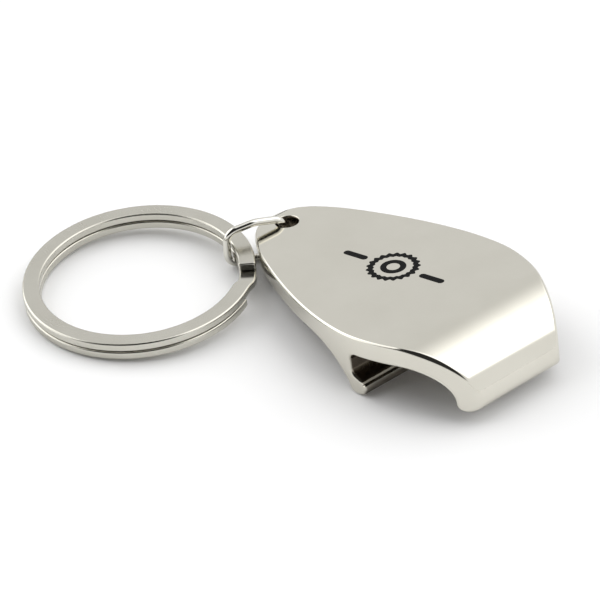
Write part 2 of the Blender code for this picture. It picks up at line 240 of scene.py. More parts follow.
# scale, detail and roughness of each noise
HAZE_NOISE = (140.0, 3.0, 0.55)
HAIRLINE_NOISE = (1.0, 2.0, 0.6)
WAVE_NOISE = (260.0, 2.0, 0.5)
INK_NOISE = (900.0, 3.0, 0.6)
INK_GRAIN_NOISE = (4000.0, 2.0, 0.5)
TABLE_NOISE = (30.0, 3.0, 0.5)


# ---------------------------------------------------------------- outlines

def bezier(p0, p1, p2, p3, count):
    """Points of a cubic curve, without the last one."""
    points = []
    for i in range(count):
        t = i / count
        a, b, c, d = (1 - t) ** 3, 3 * (1 - t) ** 2 * t, 3 * (1 - t) * t * t, t ** 3
        points.append(a * p0 + b * p1 + c * p2 + d * p3)
    return points


def straight(start, finish, count):
    """Points of a straight run, without the last one."""
    return [start.lerp(finish, k / count) for k in range(count)]


def arc(centre, radius, start, finish, count):
    """Points of an arc, with both ends."""
    angles = [start + (finish - start) * k / count for k in range(count + 1)]
    return [Vector((centre[0] + radius * math.cos(a), centre[1] + radius * math.sin(a)))
            for a in angles]


def round_turn(count):
    """Cosine and sine of equal steps round a full turn."""
    angles = [2 * math.pi * k / count for k in range(count)]
    return [(math.cos(a), math.sin(a)) for a in angles]


def circle(radius, count, ripple=0.0, ripples=0):
    """Closed circle of points about the origin, with a rippled edge if asked for."""
    return [Vector((math.cos(t), math.sin(t))) * radius * (1 + ripple * math.cos(ripples * t))
            for t in (2 * math.pi * k / count for k in range(count))]


def rounded_path(corners):
    """Closed outline through corners (x, z, radius), each replaced by its fillet arc."""
    points = []
    total = len(corners)
    for i, (x, z, radius) in enumerate(corners):
        here = Vector((x, z))
        before = Vector(corners[i - 1][:2]) - here
        after = Vector(corners[(i + 1) % total][:2]) - here
        if radius <= 0.0:
            points.append(here)
            continue
        a = before.normalized()
        b = after.normalized()
        half = math.acos(max(-1.0, min(1.0, a.dot(b)))) / 2
        reach = radius / math.tan(half)
        centre = here + (a + b).normalized() * (radius / math.sin(half))
        start = here + a * reach - centre
        finish = here + b * reach - centre
        turn = math.atan2(start.x * finish.y - start.y * finish.x, start.dot(finish))
        steps = max(4, round(abs(turn) / ARC_STEP))
        for k in range(steps + 1):
            spun = Matrix.Rotation(turn * k / steps, 2) @ start
            points.append(centre + spun)
    return points


def fill_gaps(points, longest):
    """Adds points on straight stretches so that no step is longer than that."""
    filled = []
    for a, b in zip(points, points[1:]):
        filled += straight(a, b, max(1, math.ceil((b - a).length / longest)))
    filled.append(points[-1])
    return filled


def drop_repeats(points):
    """Leaves out points that nearly coincide with the one before."""
    kept = []
    for point in points:
        if not kept or (point - kept[-1]).length > SHORTEST_STEP:
            kept.append(point)
    return kept


def outline_half():
    """One long side of the body in plan, from the ring end to the lip."""
    nose = Vector((NOSE_X, 0.0))
    shoulder = Vector((SHOULDER_X, SHOULDER_HALF))
    widest = Vector((WIDEST_X, HALF_WIDTH))
    lip = Vector((LIP_FRONT_X, LIP_HALF))
    along = Vector((math.cos(SHOULDER_ANGLE), math.sin(SHOULDER_ANGLE)))
    taper = Vector((math.cos(LIP_TAPER), -math.sin(LIP_TAPER)))
    ahead = Vector((WIDEST_HANDLE, 0.0))
    half = bezier(nose, nose + Vector((0.0, NOSE_HANDLE)),
                  shoulder - along * SHOULDER_HANDLE_BACK, shoulder, OUTLINE_STEPS[0])
    half += bezier(shoulder, shoulder + along * SHOULDER_HANDLE_FRONT,
                   widest - ahead, widest, OUTLINE_STEPS[1])
    half += bezier(widest, widest + ahead, lip - taper * LIP_HANDLE, lip, OUTLINE_STEPS[2])
    half.append(lip)
    return half


def bend_arc(length, height, count):
    """Quarter of an oval from upright at the lip to level at the plate."""
    return [Vector((BEND_X + length * math.cos(math.pi / 2 * k / count),
                    LIP_ROUND + height * math.sin(math.pi / 2 * k / count)))
            for k in range(count + 1)]


def front_profile(start_x):
    """Side view of the casting from start_x on the top face, round the lip and the hook,
    and back to start_x on the underside, with the metal on its right."""
    lip_in = LIP_FRONT_X - LIP_THICK
    edge_x = HOOK_TIP_X - TIP_EDGE_IN
    points = [Vector((start_x, PLATE_TOP))]
    points += list(reversed(bend_arc(BEND_LENGTH, PLATE_TOP - LIP_ROUND, BEND_STEPS)))
    points += arc((LIP_FRONT_X - LIP_ROUND, LIP_ROUND), LIP_ROUND, 0.0, -math.pi / 2, LIP_STEPS)
    points += arc((lip_in + LIP_ROUND, LIP_ROUND), LIP_ROUND, 1.5 * math.pi, math.pi, LIP_STEPS)
    points += bend_arc(lip_in - BEND_X, PLATE_UNDER - LIP_ROUND, BEND_UNDER_STEPS)
    points += rounded_path([
        (BEND_X, PLATE_UNDER, 0.0),
        (SLOT_X, PLATE_UNDER, SLOT_ROUND),
        (SLOT_X, SLOT_FLOOR + STEP_RISE + RAMP_RISE, SLOT_ROUND),
        (edge_x - TIP_LAND - STEP_RUN, HOOK_TIP_TOP + STEP_RISE, STEP_ROUND),
        (edge_x - TIP_LAND, HOOK_TIP_TOP, STEP_ROUND / 3),
        (edge_x, HOOK_TIP_TOP, TIP_EDGE_ROUND),
        (HOOK_TIP_X, HOOK_TIP_TOP * TIP_CHIN, TIP_NOSE_ROUND),
        (HOOK_TIP_X * TIP_CHIN, 0.0, TIP_CHIN_ROUND),
        (0.0, 0.0, 0.0),
    ])
    start = Vector((SLOT_X - HOOK_NECK - HOOK_SWEEP, PLATE_UNDER))
    finish = Vector((-HEEL_RADIUS, HEEL_RADIUS))
    down = Vector((math.cos(HEEL_ANGLE), math.sin(HEEL_ANGLE)))
    heel = arc((0.0, HEEL_RADIUS), HEEL_RADIUS, 1.5 * math.pi, HEEL_START, HEEL_STEPS)
    sweep = bezier(start, start + Vector((HOOK_SWEEP * SWEEP_HANDLE, 0.0)),
                   finish - down * HEEL_HANDLE, finish, SWEEP_STEPS)
    points += heel + list(reversed(sweep))
    points.append(Vector((start_x, PLATE_UNDER)))
    return drop_repeats(fill_gaps(points, LONGEST_STEP))


def nose_top(x):
    """Height and slope angle of the top face near the ring end."""
    run = max(0.0, NOSE_X + NOSE_ROLL_LENGTH - x)
    turn = math.asin(min(1.0, run / NOSE_ROLL_RADIUS))
    return PLATE_TOP - NOSE_ROLL_RADIUS * (1 - math.cos(turn)), turn


def nose_under(x):
    """Height and slope angle of the underside near the ring end."""
    run = max(0.0, NOSE_X + NOSE_END_RADIUS - x)
    turn = math.asin(min(1.0, run / NOSE_END_RADIUS))
    return PLATE_UNDER + NOSE_END_RADIUS * (1 - math.cos(turn)), turn


def normals_2d(points):
    """Left-hand unit normals of a run of points."""
    p = np.array(points, float)
    before = np.roll(p, 1, axis=0)
    after = np.roll(p, -1, axis=0)
    before[0] = p[0]
    after[-1] = p[-1]
    along = after - before
    along /= np.linalg.norm(along, axis=1)[:, None]
    return np.stack([-along[:, 1], along[:, 0]], axis=1)


def edge_limits(points, normals):
    """Rounding at each point of the profile: more over the front bend, less at corners."""
    p = np.array(points, float)
    steps = np.linalg.norm(np.diff(p, axis=0), axis=1)
    heading = np.unwrap(np.arctan2(*np.diff(p, axis=0).T[::-1]))
    near_bend = 1 - np.clip(np.abs(p[:, 0] - BEND_ROUND_X) / BEND_ROUND_SPAN, 0.0, 1.0)
    near_bend = near_bend * near_bend * (3 - 2 * near_bend) * (normals[:, 1] > FACES_UP)
    limit = EDGE_ROUND + (BEND_ROUND - EDGE_ROUND) * near_bend
    for i in range(1, len(p) - 1):
        turn = heading[i - 1] - heading[i]
        if turn > LEAST_TURN:
            radius = (steps[i - 1] + steps[i]) / 2 / turn
            limit[i] = min(limit[i], EDGE_SHARE * radius)
    place = np.concatenate([[0.0], np.cumsum(steps)])
    apart = np.abs(place[:, None] - place[None, :])
    return np.min(limit[None, :] + EDGE_GROWTH * apart, axis=1)


# ---------------------------------------------------------------- body mesh

class Plan:
    """Body's plan outline inset by any amount, as half width and normal along X."""

    def __init__(self):
        self.points = np.array(outline_half(), float)
        self.normals = normals_2d(self.points)
        self.normals[0] = (-1.0, 0.0)

    def at(self, x, inset):
        """Half width of the outline at x, inset by that much, and its normal there."""
        p = self.points - self.normals * inset
        slope = (p[-1, 1] - p[-2, 1]) / (p[-1, 0] - p[-2, 0])
        if x > p[-1, 0]:
            width = p[-1, 1] + slope * (x - p[-1, 0])
            return width, self.normals[-1]
        width = np.interp(x, p[:, 0], p[:, 1])
        normal = np.array([np.interp(x, p[:, 0], self.normals[:, 0]),
                           np.interp(x, p[:, 0], self.normals[:, 1])])
        return width, normal / np.linalg.norm(normal)


def body_rows(plan, start_x):
    """Edge rows of one long side: for each station the points and normals of its rows.

    Row 0 lies on the top or bottom face, the last row on the upright wall.
    """
    count = int(np.searchsorted(plan.points[:, 0], start_x))
    turns = [math.pi / 2 * k / EDGE_ROWS for k in range(EDGE_ROWS + 1)]
    profile = front_profile(plan.points[count, 0])
    flat = normals_2d(profile)
    limits = edge_limits(profile, flat)
    stations = []

    def nose_station(i, height, sign):
        rows = []
        for turn in turns:
            x, y = plan.points[i] - plan.normals[i] * EDGE_ROUND * (1 - math.sin(turn))
            z, slope = height(x)
            z -= sign * EDGE_ROUND * (1 - math.cos(turn))
            face = Vector((-math.sin(slope), 0.0, sign * math.cos(slope)))
            wall = Vector((*plan.normals[i], 0.0))
            normal = face * math.cos(turn) + wall * math.sin(turn)
            rows.append((Vector((x, y, z)), normal.normalized()))
        return rows

    for i in range(count):
        stations.append(nose_station(i, nose_top, 1.0))
    for point, out, limit in zip(profile, flat, limits):
        rows = []
        for turn in turns:
            x, z = np.array(point) - out * limit * (1 - math.cos(turn))
            y, side = plan.at(x, limit * (1 - math.sin(turn)))
            normal = Vector((out[0], 0.0, out[1])) * math.cos(turn)
            normal += Vector((side[0], side[1], 0.0)) * math.sin(turn)
            rows.append((Vector((x, y, z)), normal.normalized()))
        stations.append(rows)
    for i in reversed(range(count)):
        stations.append(nose_station(i, nose_under, -1.0))
    return stations, count


def body_mesh():
    """The whole casting but for the eyelet, and the normals known at its points."""
    plan = Plan()
    stations, count = body_rows(plan, NOSE_PART_END)
    total = len(stations)
    bm = bmesh.new()
    made = {}
    for side in (1, -1):
        for i, rows in enumerate(stations):
            for k, (point, _) in enumerate(rows):
                made[side, i, k] = bm.verts.new((point.x, side * point.y, point.z))
    for i in range(total - 1):
        j = i + 1
        quad = [made[1, i, 0], made[1, j, 0], made[-1, j, 0], made[-1, i, 0]]
        bm.faces.new(quad)
        for side in (1, -1):
            for k in range(EDGE_ROWS):
                quad = [made[side, i, k], made[side, i, k + 1],
                        made[side, j, k + 1], made[side, j, k]]
                bm.faces.new(quad if side == 1 else list(reversed(quad)))
    # upright wall: quads on the plate, strips of constant X where the hook and lip are
    for side in (1, -1):
        for i in range(count):
            j = total - 1 - i
            quad = [made[side, i, EDGE_ROWS], made[side, j, EDGE_ROWS],
                    made[side, j - 1, EDGE_ROWS], made[side, i + 1, EDGE_ROWS]]
            bm.faces.new(quad if side == 1 else list(reversed(quad)))
        ring = [made[side, i, EDGE_ROWS] for i in range(count, total - count)]
        flat_wall(bm, ring, side, plan)
    bmesh.ops.remove_doubles(bm, verts=bm.verts, dist=MERGE_DISTANCE)
    bmesh.ops.dissolve_degenerate(bm, edges=bm.edges, dist=LEAST_EDGE)
    bmesh.ops.recalc_face_normals(bm, faces=bm.faces)
    known = [(Vector((point.x, side * point.y, point.z)),
              Vector((normal.x, side * normal.y, normal.z)))
             for side in (1, -1) for rows in stations for point, normal in rows]
    return bm, known, plan


def flat_wall(bm, ring, side, plan):
    """Fills the wall's outline with strips between upright lines, on the curved wall."""
    kept = {v: v.co.y for v in ring}
    level = side * HALF_WIDTH
    for v in ring:
        v.co.y = level
    face = bm.faces.new(ring)
    low = min(v.co.x for v in ring)
    high = max(v.co.x for v in ring)
    geom = [face] + list(face.edges) + list(ring)
    for k in range(1, WALL_STRIPS):
        x = low + (high - low) * k / WALL_STRIPS
        cut = bmesh.ops.bisect_plane(bm, geom=geom, dist=ON_PLANE,
                                     plane_co=(x, 0, 0), plane_no=(1, 0, 0))
        geom = cut["geom"]
    for v in {v for g in geom if isinstance(g, bmesh.types.BMFace) for v in g.verts}:
        v.co.y = side * plan.at(v.co.x, 0.0)[0] if v not in kept else kept[v]


def new_object(name, bm):
    """Object made of a finished mesh, which it uses up."""
    mesh = bpy.data.meshes.new(name)
    bm.to_mesh(mesh)
    bm.free()
    obj = bpy.data.objects.new(name, mesh)
    bpy.context.scene.collection.objects.link(obj)
    return obj


def eyelet_outline():
    """Bore of the eyelet with a rounded mouth at both ends, as (radius, z)."""
    turns = [math.pi / 2 * k / EDGE_ROWS for k in range(EDGE_ROWS + 1)]
    top = [(EYE_RADIUS + EYE_CHAMFER * (1 - math.sin(turn)),
            PLATE_TOP - EYE_CHAMFER * (1 - math.cos(turn))) for turn in turns]
    under = [(r, PLATE_TOP + PLATE_UNDER - z) for r, z in reversed(top)]
    wide = EYE_RADIUS + EYE_CHAMFER
    return [(wide, PLATE_TOP + MM)] + top + under + [(wide, PLATE_UNDER - MM)]


def eyelet_cutter():
    """Turned solid that cuts the eyelet, with material slot 1 to mark its faces."""
    bm = bmesh.new()
    rings = []
    for radius, z in eyelet_outline():
        rings.append([bm.verts.new((EYE_X + radius * c, radius * s, z))
                      for c, s in round_turn(EYE_FACETS)])
    for upper, lower in zip(rings, rings[1:]):
        for k in range(EYE_FACETS):
            n = (k + 1) % EYE_FACETS
            bm.faces.new((upper[k], upper[n], lower[n], lower[k]))
    bm.faces.new(rings[0])
    bm.faces.new(list(reversed(rings[-1])))
    bmesh.ops.recalc_face_normals(bm, faces=bm.faces)
    for face in bm.faces:
        face.material_index = 1
    return new_object("eyelet_cutter", bm)


def eyelet_normal(point):
    """Normal of the bore's wall, which faces its axis, tilted at the rounded mouths."""
    out = Vector((point.x - EYE_X, point.y, 0.0)).normalized()
    flare = min(1.0, max(0.0, (math.hypot(point.x - EYE_X, point.y) - EYE_RADIUS) / EYE_CHAMFER))
    level = 1.0 if point.z > PLATE_MIDDLE else -1.0
    inward = 1.0 - flare
    return -out * inward + Vector((0, 0, level * math.sqrt(1 - inward * inward)))


def painted_shade_at(point, plan):
    """Share, 0 to 1, of painted shade at a point on the inner faces: the eyelet's bore, the
    hook's slot and front face, and the underside.
    """
    inside = plan.at(point.x, 0.0)[0] - abs(point.y)
    depth = min(1.0, max(0.0, inside / EDGE_ROUND))
    if math.hypot(point.x - EYE_X, point.y) < SHADE_EYE_EDGE:
        return 1.0
    if point.z >= PLATE_UNDER + SHADE_ABOVE_UNDER or depth <= 0.0:
        return 0.0
    if SLOT_X - SHADE_BEHIND_SLOT < point.x < BEND_X and point.z > SHADE_SLOT_FLOOR:
        return depth
    if point.x < BEND_X:
        return (SHADE_HOOK_FRONT if point.x > HOOK_TIP_X * TIP_CHIN else SHADE_UNDERSIDE) * depth
    reach = (LIP_FRONT_X - LIP_THICK - point.x) / (LIP_FRONT_X - LIP_THICK - BEND_X)
    return depth * max(0.0, min(1.0, reach))


def face_normal(point, plan):
    """Normal where the eyelet's cut or a wall strip has made a new point."""
    if math.hypot(point.x - EYE_X, point.y) < 2 * EYE_RADIUS:
        if point.z <= PLATE_MIDDLE:
            return Vector((0, 0, -1))
        slope = nose_top(point.x)[1]
        return Vector((-math.sin(slope), 0, math.cos(slope)))
    side = plan.at(point.x, 0.0)[1]
    sign = 1 if point.y > 0 else -1
    return Vector((side[0], sign * side[1], 0)).normalized()


def build_body(material):
    """The casting: body mesh, eyelet cut out of it, normals and the share of painted shade."""
    bm, known, plan = body_mesh()
    body = new_object("opener_body_fine", bm)
    cutter = eyelet_cutter()
    plain = bpy.data.materials.new("cutter_mark")
    for slot in (plain, plain.copy()):
        body.data.materials.append(slot)
        cutter.data.materials.append(slot)
    mod = body.modifiers.new("eyelet", "BOOLEAN")
    mod.operation = "DIFFERENCE"
    mod.solver = "EXACT"
    mod.object = cutter
    graph = bpy.context.evaluated_depsgraph_get()
    mesh = bpy.data.meshes.new_from_object(body.evaluated_get(graph))
    body.modifiers.clear()
    body.data = mesh
    bpy.data.objects.remove(cutter)

    finder = kdtree.KDTree(len(known))
    for i, (point, _) in enumerate(known):
        finder.insert(point, i)
    finder.balance()
    corner_normals = []
    for face in mesh.polygons:
        for index in face.vertices:
            point = mesh.vertices[index].co
            _, found, apart = finder.find(point)
            if face.material_index == 1:
                corner_normals.append(eyelet_normal(point))
            elif apart < SAME_POINT:
                corner_normals.append(known[found][1])
            else:
                corner_normals.append(face_normal(point, plan))
    mesh.materials.clear()
    mesh.materials.append(material)
    for face in mesh.polygons:
        face.material_index = 0
    # share of painted shade at each point, read by the body's material
    shade_layer = mesh.attributes.new("shade_share", "FLOAT", "POINT")
    shade_layer.data.foreach_set("value", [painted_shade_at(v.co, plan) for v in mesh.vertices])
    mesh.shade_smooth()
    mesh.normals_split_custom_set(corner_normals)
    return body


# ---------------------------------------------------------------- link and ring

def swept(name, stations, normals, material):
    """Solid from a row of equal closed sections, with flat ends and given normals."""
    bm = bmesh.new()
    loops = [[bm.verts.new(p) for p in section] for section in stations]
    count = len(loops[0])
    corner_normals = []
    for s, (a, b) in enumerate(zip(loops, loops[1:])):
        for k in range(count):
            n = (k + 1) % count
            bm.faces.new((a[k], a[n], b[n], b[k]))
            corner_normals += [normals[s][k], normals[s][n], normals[s + 1][n], normals[s + 1][k]]
    for cap in (bm.faces.new(list(reversed(loops[0]))), bm.faces.new(loops[-1])):
        cap.normal_update()
        corner_normals += [cap.normal.copy()] * count
    obj = new_object(name, bm)
    obj.data.shade_smooth()
    obj.data.normals_split_custom_set(corner_normals)
    obj.data.materials.append(material)
    return obj


def build_link(material, length, height):
    """Oval link in its own XZ plane; the side that goes through the eyelet is at x = 0."""
    centreline = rounded_path([
        (0.0, 0.0, LINK_CORNER),
        (0.0, height, LINK_CORNER),
        (length / 2, height + LINK_CROWN, LINK_CROWN_ROUND),
        (length, height, LINK_CORNER),
        (length, 0.0, LINK_CORNER),
    ])
    first = Vector((length / 2 - LINK_SEAM / 2, 0.0))
    last = Vector((length / 2 + LINK_SEAM / 2, 0.0))
    path = [first] + centreline + [last]
    stations = []
    normals = []
    for i, point in enumerate(path):
        before = path[max(i - 1, 0)]
        after = path[min(i + 1, len(path) - 1)]
        along = (after - before).normalized()
        out = Vector((along.y, -along.x))
        ring = [Vector((out.x * c, s, out.y * c)) for c, s in round_turn(LINK_FACETS)]
        middle = Vector((point.x, 0.0, point.y))
        stations.append([middle + n * (LINK_WIRE / 2) for n in ring])
        normals.append(ring)
    return swept("jump_link_fine", stations, normals, material)


def ring_section():
    """Band section of one coil as (radial, up) with rounded corners, and its normals."""
    low, high = RING_OUTER - RING_BAND, RING_OUTER
    corners = [(low, 0.0), (low, COIL_HEIGHT), (high, COIL_HEIGHT), (high, 0.0)]
    points = []
    normals = []
    for i, (r, z) in enumerate(corners):
        here = Vector((r, z))
        back = (Vector(corners[i - 1]) - here).normalized()
        ahead = (Vector(corners[(i + 1) % 4]) - here).normalized()
        centre = here + (back + ahead) * COIL_EDGE
        for k in range(EDGE_ROWS + 1):
            turn = math.pi / 2 * k / EDGE_ROWS
            away = -ahead * math.cos(turn) - back * math.sin(turn)
            points.append(centre + away * COIL_EDGE)
            normals.append(away)
    return points, normals


def build_ring(material):
    """Two turns of flat wire that change level over a short arc, about the Z axis; the
    wire's ends are ground round."""
    section, section_normals = ring_section()
    pitch = COIL_HEIGHT + COIL_GAP
    total = 4 * math.pi - COIL_STEP - COIL_END_GAP
    steps = round(total / (2 * math.pi / COIL_SEGMENTS))
    radius = RING_OUTER - RING_BAND / 2
    reach = COIL_END_ROUND / radius
    tilts = [math.pi / 2 * k / EDGE_ROWS for k in range(EDGE_ROWS + 1)]
    plan = [(reach * (1 - math.sin(t)), -t) for t in reversed(tilts)]
    plan += [(reach + (total - 2 * reach) * i / steps, 0.0) for i in range(1, steps)]
    plan += [(total - reach * (1 - math.sin(t)), t) for t in tilts]
    stations = []
    normals = []
    for turn, tilt in plan:
        inset = COIL_END_ROUND * (1 - math.cos(tilt))
        level_out, along = math.cos(tilt), math.sin(tilt)
        over = (turn - (2 * math.pi - COIL_STEP - COIL_END_GAP)) / COIL_STEP
        over = max(0.0, min(1.0, over))
        level = pitch * (1.0 - over ** 3 * (10 - 15 * over + 6 * over * over))
        angle = COIL_END + turn
        c, s = math.cos(angle), math.sin(angle)
        shrunk = [p - n * inset for p, n in zip(section, section_normals)]
        stations.append([Vector((p.x * c, p.x * s, p.y + level)) for p in shrunk])
        normals.append([Vector((n.x * c, n.x * s, n.y)) * level_out
                        + Vector((-s, c, 0.0)) * along for n in section_normals])
    return swept("split_ring_fine", stations, normals, material)


def settle(obj, matrix):
    """Moves the mesh itself to its place, so that the object sits at the origin."""
    obj.data.transform(matrix)
    return obj


# ---------------------------------------------------------------- materials

class Nodes:
    """Small helper that wires a material's node tree."""

    def __init__(self, name):
        self.material = bpy.data.materials.new(name)
        self.material.use_nodes = True
        self.tree = self.material.node_tree
        self.shader = self.tree.nodes["Principled BSDF"]
        self.where = self.add("ShaderNodeTexCoord").outputs["Object"]

    def add(self, kind, **settings):
        node = self.tree.nodes.new(kind)
        for key, value in settings.items():
            setattr(node, key, value)
        return node

    def join(self, output, target):
        self.tree.links.new(output, target)

    def mapped(self, scale, turn):
        node = self.add("ShaderNodeMapping")
        node.inputs["Scale"].default_value = scale
        node.inputs["Rotation"].default_value = (0.0, 0.0, turn)
        self.join(self.where, node.inputs["Vector"])
        return node.outputs["Vector"]

    def noise(self, scale, detail, roughness, vector=None):
        node = self.add("ShaderNodeTexNoise")
        node.inputs["Scale"].default_value = scale
        node.inputs["Detail"].default_value = detail
        node.inputs["Roughness"].default_value = roughness
        self.join(vector or self.where, node.inputs["Vector"])
        return node.outputs["Fac"]

    def spread(self, value, low, high, start=0.0, finish=1.0):
        node = self.add("ShaderNodeMapRange")
        for socket, number in (("From Min", start), ("From Max", finish),
                               ("To Min", low), ("To Max", high)):
            node.inputs[socket].default_value = number
        self.join(value, node.inputs["Value"])
        return node.outputs["Result"]

    def mix(self, factor, first, second):
        node = self.add("ShaderNodeMix", data_type="RGBA")
        node.inputs["A"].default_value = (*first, 1.0)
        node.inputs["B"].default_value = (*second, 1.0)
        self.join(factor, node.inputs["Factor"])
        return node.outputs["Result"]

    def sum(self, first, second):
        node = self.add("ShaderNodeMath", operation="ADD")
        self.join(first, node.inputs[0])
        self.join(second, node.inputs[1])
        return node.outputs["Value"]

    def bump(self, height, strength, distance):
        node = self.add("ShaderNodeBump")
        node.inputs["Strength"].default_value = strength
        node.inputs["Distance"].default_value = distance
        self.join(height, node.inputs["Height"])
        self.join(node.outputs["Normal"], self.shader.inputs["Normal"])


def nickel(name, light, dark, smooth, rough, waviness):
    """Plated metal: haze in colour and gloss, hairline scratches and faint waviness."""
    nodes = Nodes(name)
    nodes.shader.inputs["Metallic"].default_value = 1.0
    haze = nodes.noise(*HAZE_NOISE)
    nodes.join(nodes.mix(nodes.spread(haze, 0.0, 1.0, *HAZE_IN_COLOUR), light, dark),
               nodes.shader.inputs["Base Color"])
    hairs = nodes.noise(*HAIRLINE_NOISE, nodes.mapped(HAIRLINES, HAIRLINE_TURN))
    fine = nodes.spread(hairs, *HAIRLINE_DEPTH)
    gloss = nodes.spread(haze, smooth, rough, *HAZE_IN_GLOSS)
    nodes.join(nodes.sum(gloss, fine), nodes.shader.inputs["Roughness"])
    nodes.bump(nodes.noise(*WAVE_NOISE), waviness, WAVE_DEPTH)
    return nodes


def shaded_body_nickel():
    """Mirror polish outside; painted shade darkens the hook's slot, the underside and the
    eyelet's bore, which are also made rougher.
    """
    nodes = nickel("polished_nickel", *BODY_FINISH)
    inner = nodes.add("ShaderNodeAttribute", attribute_name="shade_share").outputs["Fac"]
    colour = nodes.shader.inputs["Base Color"].links[0].from_socket
    # painted shade: the base colour goes over to a dark brown where the share is high
    shaded_colour = nodes.add("ShaderNodeMix", data_type="RGBA")
    nodes.join(inner, shaded_colour.inputs["Factor"])
    nodes.join(colour, shaded_colour.inputs["A"])
    shaded_colour.inputs["B"].default_value = PAINTED_SHADE_COLOUR
    nodes.join(shaded_colour.outputs["Result"], nodes.shader.inputs["Base Color"])
    gloss = nodes.shader.inputs["Roughness"].links[0].from_socket
    nodes.join(nodes.sum(gloss, nodes.spread(inner, 0.0, SHADE_ROUGHNESS)),
               nodes.shader.inputs["Roughness"])
    return nodes.material


def printed_ink():
    """Matt dark print: faint unevenness in tone and gloss."""
    nodes = Nodes("printed_ink")
    cloud = nodes.noise(*INK_NOISE)
    nodes.shader.inputs["Specular IOR Level"].default_value = INK_SPECULAR
    nodes.join(nodes.mix(cloud, *INK_COLOURS), nodes.shader.inputs["Base Color"])
    nodes.join(nodes.spread(cloud, *INK_ROUGHNESS), nodes.shader.inputs["Roughness"])
    nodes.bump(nodes.noise(*INK_GRAIN_NOISE), *INK_GRAIN)
    return nodes.material


# ---------------------------------------------------------------- printed mark

def band(bm, outer, inner, height):
    """Thin flat band between two outlines of equal length, with its upright sides."""
    rows = [[bm.verts.new((p.x, p.y, z)) for p in run]
            for run, z in ((outer, 0.0), (outer, height), (inner, height), (inner, 0.0))]
    count = len(outer)
    for a, b in zip(rows, rows[1:] + rows[:1]):
        for k in range(count):
            n = (k + 1) % count
            bm.faces.new((a[k], a[n], b[n], b[k]))


def build_mark(material):
    """Generic printed mark: a crown cap seen from above between two short rules."""
    bm = bmesh.new()
    fine = MARK_TEETH * MARK_TOOTH_STEPS
    band(bm, circle(MARK_CAP, fine, MARK_RIPPLE_OUT, MARK_TEETH),
         circle(MARK_CAP - MARK_LINE, fine, MARK_RIPPLE_IN, MARK_TEETH), MARK_FILM)
    band(bm, circle(MARK_INNER, fine), circle(MARK_INNER - MARK_LINE, fine), MARK_FILM)
    half = RULE_HALF_WIDTH
    for side in (-1, 1):
        first = side * (MARK_CAP + MARK_SPACE)
        last = side * MARK_HALF_LENGTH
        low, high = min(first, last), max(first, last)
        outline = arc((high - half, 0.0), half, -math.pi / 2, math.pi / 2, RULE_END_STEPS)
        outline += arc((low + half, 0.0), half, math.pi / 2, 1.5 * math.pi, RULE_END_STEPS)
        lower = [bm.verts.new((p.x, p.y, 0.0)) for p in outline]
        upper = [bm.verts.new((p.x, p.y, MARK_FILM)) for p in outline]
        bm.faces.new(list(reversed(lower)))
        bm.faces.new(upper)
        for k in range(len(outline)):
            n = (k + 1) % len(outline)
            bm.faces.new((lower[k], lower[n], upper[n], upper[k]))
    bmesh.ops.recalc_face_normals(bm, faces=bm.faces)
    mark = new_object("printed_mark", bm)
    mark.data.materials.append(material)
    return mark


# ---------------------------------------------------------------- placing

def joint(name):
    return next(j for j in frame["joints"] if j["name"] == name)


body_metal = shaded_body_nickel()
link_metal = nickel("link_nickel", *LINK_FINISH).material
ring_metal = nickel("ring_nickel", *RING_FINISH).material

# the body is tipped about the hook's heel; its eyelet is where the frame has the link's joint
eye = Vector(joint("eyelet_swing")["pos_m"])
tip = Matrix.Rotation(-REST_PITCH, 4, "Y")
eye_local = Vector((EYE_X, 0.0, PLATE_MIDDLE))
rest = Matrix.Translation(eye) @ tip @ Matrix.Translation(-eye_local)
body = settle(build_body(body_metal), rest)

# the link stands upright in the eyelet, its other side inside the ring's band
ring_turn = joint("ring_turn")
ring_centre = Vector(ring_turn["pos_m"])
distance = (ring_centre - eye).xy.length
offset = EYE_RADIUS - EYE_CLEAR - LINK_WIRE / 2
link_length = distance - RING_OUTER + RING_BAND - offset + LINK_BAND_CLEAR + LINK_WIRE / 2
plate_top = (rest @ Vector((EYE_X, 0.0, PLATE_TOP))).z
link_height = plate_top + LINK_TOP_CLEAR - FLOOR_GAP
base = FLOOR_GAP + LINK_WIRE / 2
link = settle(build_link(link_metal, link_length, link_height),
              Matrix.Translation(Vector((eye.x, eye.y, base)))
              @ Matrix.Rotation(LINK_AZIMUTH, 4, "Z")
              @ Matrix.Translation(Vector((offset, 0.0, 0.0))))

# the ring leans on the link: lifted where the link passes under it
rise = math.atan2(LINK_WIRE + LINK_UNDER_CLEAR, 2 * RING_OUTER - RING_BAND)
away = Vector((math.cos(LINK_AZIMUTH), math.sin(LINK_AZIMUTH), 0.0))
lean = Matrix.Rotation(rise, 4, Vector((-away.y, away.x, 0.0)))
spin = Matrix.Rotation(LINK_AZIMUTH + math.pi, 4, "Z")
ring = settle(build_ring(ring_metal), Matrix.Translation(ring_centre) @ lean @ spin)

mark = settle(build_mark(printed_ink()),
              rest @ Matrix.Translation(Vector((MARK_X, MARK_Y, PLATE_TOP)))
              @ Matrix.Rotation(MARK_TURN, 4, "Z"))
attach(mark, "opener")

for piece, node, body_name, slot_name in (
        (body, "opener_body", "opener", "cast_nickel"),
        (link, "jump_link", "link", "link_nickel"),
        (ring, "split_ring", "ring", "ring_nickel")):
    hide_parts(node)
    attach(piece, body_name)


# ---------------------------------------------------------------- table, light, camera

def table_material():
    """Matt white, with a faint cloudiness."""
    nodes = Nodes("white_table")
    nodes.shader.inputs["Roughness"].default_value = TABLE_ROUGHNESS
    nodes.shader.inputs["Specular IOR Level"].default_value = TABLE_SPECULAR
    cloud = nodes.noise(*TABLE_NOISE)
    nodes.join(nodes.mix(cloud, *TABLE_COLOURS), nodes.shader.inputs["Base Color"])
    return nodes.material


def build_table():
    bpy.ops.mesh.primitive_plane_add(size=FLOOR_SIZE, location=(0.0, 0.0, 0.0))
    table = bpy.context.object
    table.name = "table"
    table.data.materials.append(table_material())


